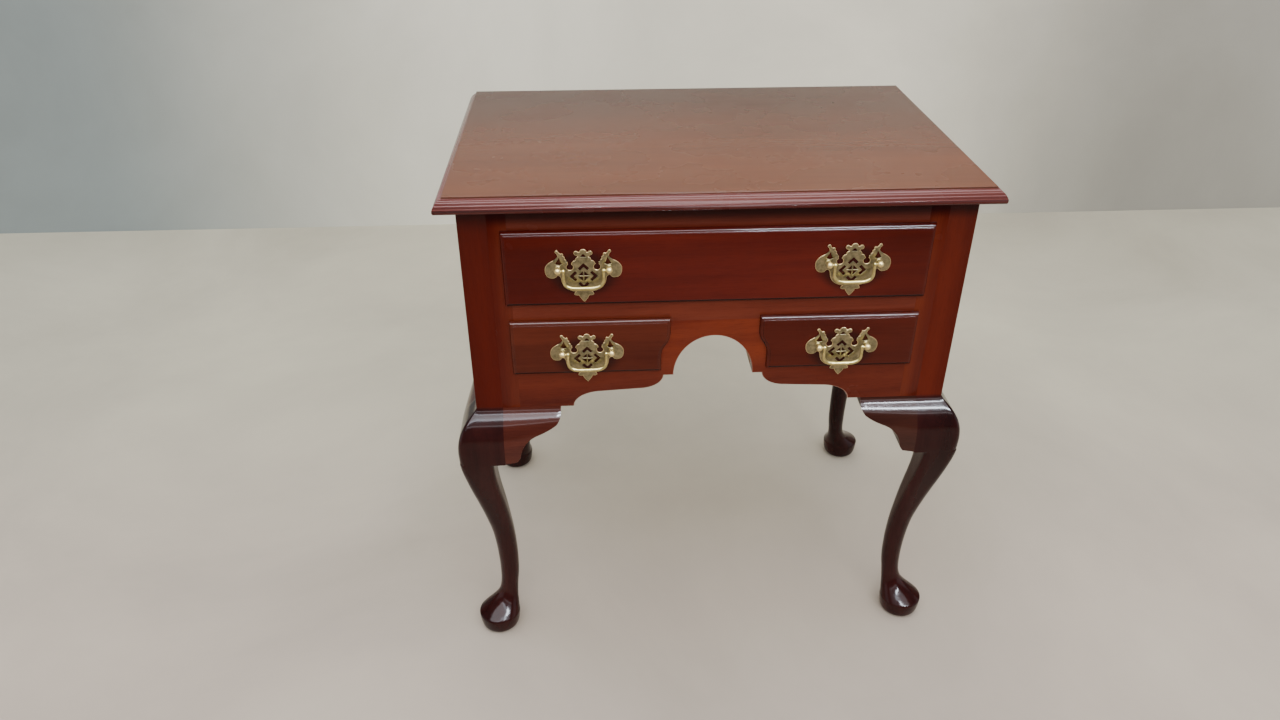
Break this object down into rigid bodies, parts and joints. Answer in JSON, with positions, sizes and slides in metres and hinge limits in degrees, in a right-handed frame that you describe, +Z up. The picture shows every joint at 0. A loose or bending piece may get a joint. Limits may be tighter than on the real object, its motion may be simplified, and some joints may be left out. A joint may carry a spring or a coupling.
{
  "type": "lowboy",
  "caption": "Small mahogany chest of drawers on tall cabriole legs with pad feet, an arched apron, lipped drawer fronts, a moulded top and pierced brass bail pulls",
  "frame": {"origin": "on the floor, midway between the four feet", "axes": "+Z up, +Y from the drawer fronts towards the back, +X to the right of someone facing the drawers"},
  "size_m": [0.6966, 0.4756, 0.716],
  "materials": {
    "polished_mahogany": "gloss",
    "dark_mahogany": "gloss",
    "drawer_box_wood": "matte",
    "aged_brass": "satin"
  },
  "bodies": {
    "case": {"top_board": "polished_mahogany", "leg_front_left": "dark_mahogany", "leg_front_right": "dark_mahogany", "leg_rear_left": "dark_mahogany", "leg_rear_right": "dark_mahogany", "knee_block_front_left": "dark_mahogany", "knee_block_front_right": "dark_mahogany", "knee_block_side_front_left": "dark_mahogany", "knee_block_side_front_right": "dark_mahogany", "knee_block_side_rear_left": "dark_mahogany", "knee_block_side_rear_right": "dark_mahogany", "top_rail": "polished_mahogany", "middle_rail": "polished_mahogany", "apron": "polished_mahogany", "stile_left": "polished_mahogany", "stile_right": "polished_mahogany", "side_left": "polished_mahogany", "side_right": "polished_mahogany", "back_board": "drawer_box_wood", "top_runner_left": "drawer_box_wood", "top_runner_right": "drawer_box_wood", "lower_runner_left": "drawer_box_wood", "lower_runner_right": "drawer_box_wood", "inner_runner_left": "drawer_box_wood", "inner_runner_right": "drawer_box_wood", "kicker_left": "drawer_box_wood", "kicker_right": "drawer_box_wood"},
    "top_drawer": {"top_drawer_front": "polished_mahogany", "top_drawer_side_left": "drawer_box_wood", "top_drawer_side_right": "drawer_box_wood", "top_drawer_back": "drawer_box_wood", "top_drawer_bottom": "drawer_box_wood", "top_left_pull_plate": "aged_brass", "top_left_pull_post_left": "aged_brass", "top_left_pull_post_right": "aged_brass", "top_right_pull_plate": "aged_brass", "top_right_pull_post_left": "aged_brass", "top_right_pull_post_right": "aged_brass"},
    "lower_left_drawer": {"lower_left_drawer_front": "polished_mahogany", "lower_left_drawer_side_left": "drawer_box_wood", "lower_left_drawer_side_right": "drawer_box_wood", "lower_left_drawer_back": "drawer_box_wood", "lower_left_drawer_bottom": "drawer_box_wood", "lower_left_pull_plate": "aged_brass", "lower_left_pull_post_left": "aged_brass", "lower_left_pull_post_right": "aged_brass"},
    "lower_right_drawer": {"lower_right_drawer_front": "polished_mahogany", "lower_right_drawer_side_left": "drawer_box_wood", "lower_right_drawer_side_right": "drawer_box_wood", "lower_right_drawer_back": "drawer_box_wood", "lower_right_drawer_bottom": "drawer_box_wood", "lower_right_pull_plate": "aged_brass", "lower_right_pull_post_left": "aged_brass", "lower_right_pull_post_right": "aged_brass"},
    "top_left_bail": {"top_left_pull_bail": "aged_brass"},
    "top_right_bail": {"top_right_pull_bail": "aged_brass"},
    "lower_left_bail": {"lower_left_pull_bail": "aged_brass"},
    "lower_right_bail": {"lower_right_pull_bail": "aged_brass"}
  },
  "joints": [
    {"name": "top_drawer_slide", "type": "slide", "parent": "case", "child": "top_drawer", "axis": [0, -1, 0], "range_m": [0, 0.28]},
    {"name": "lower_left_drawer_slide", "type": "slide", "parent": "case", "child": "lower_left_drawer", "axis": [0, -1, 0], "range_m": [0, 0.28]},
    {"name": "lower_right_drawer_slide", "type": "slide", "parent": "case", "child": "lower_right_drawer", "axis": [0, -1, 0], "range_m": [0, 0.28]},
    {"name": "top_left_bail_hinge", "type": "hinge", "parent": "top_drawer", "child": "top_left_bail", "pos_m": [-0.1682, -0.2285, 0.6192], "axis": [-1, 0, 0], "range_deg": [0, 165]},
    {"name": "top_right_bail_hinge", "type": "hinge", "parent": "top_drawer", "child": "top_right_bail", "pos_m": [0.1682, -0.2285, 0.6192], "axis": [-1, 0, 0], "range_deg": [0, 165]},
    {"name": "lower_left_bail_hinge", "type": "hinge", "parent": "lower_left_drawer", "child": "lower_left_bail", "pos_m": [-0.1672, -0.2285, 0.4999], "axis": [-1, 0, 0], "range_deg": [0, 165]},
    {"name": "lower_right_bail_hinge", "type": "hinge", "parent": "lower_right_drawer", "child": "lower_right_bail", "pos_m": [0.1672, -0.2285, 0.4999], "axis": [-1, 0, 0], "range_deg": [0, 165]}
  ]
}
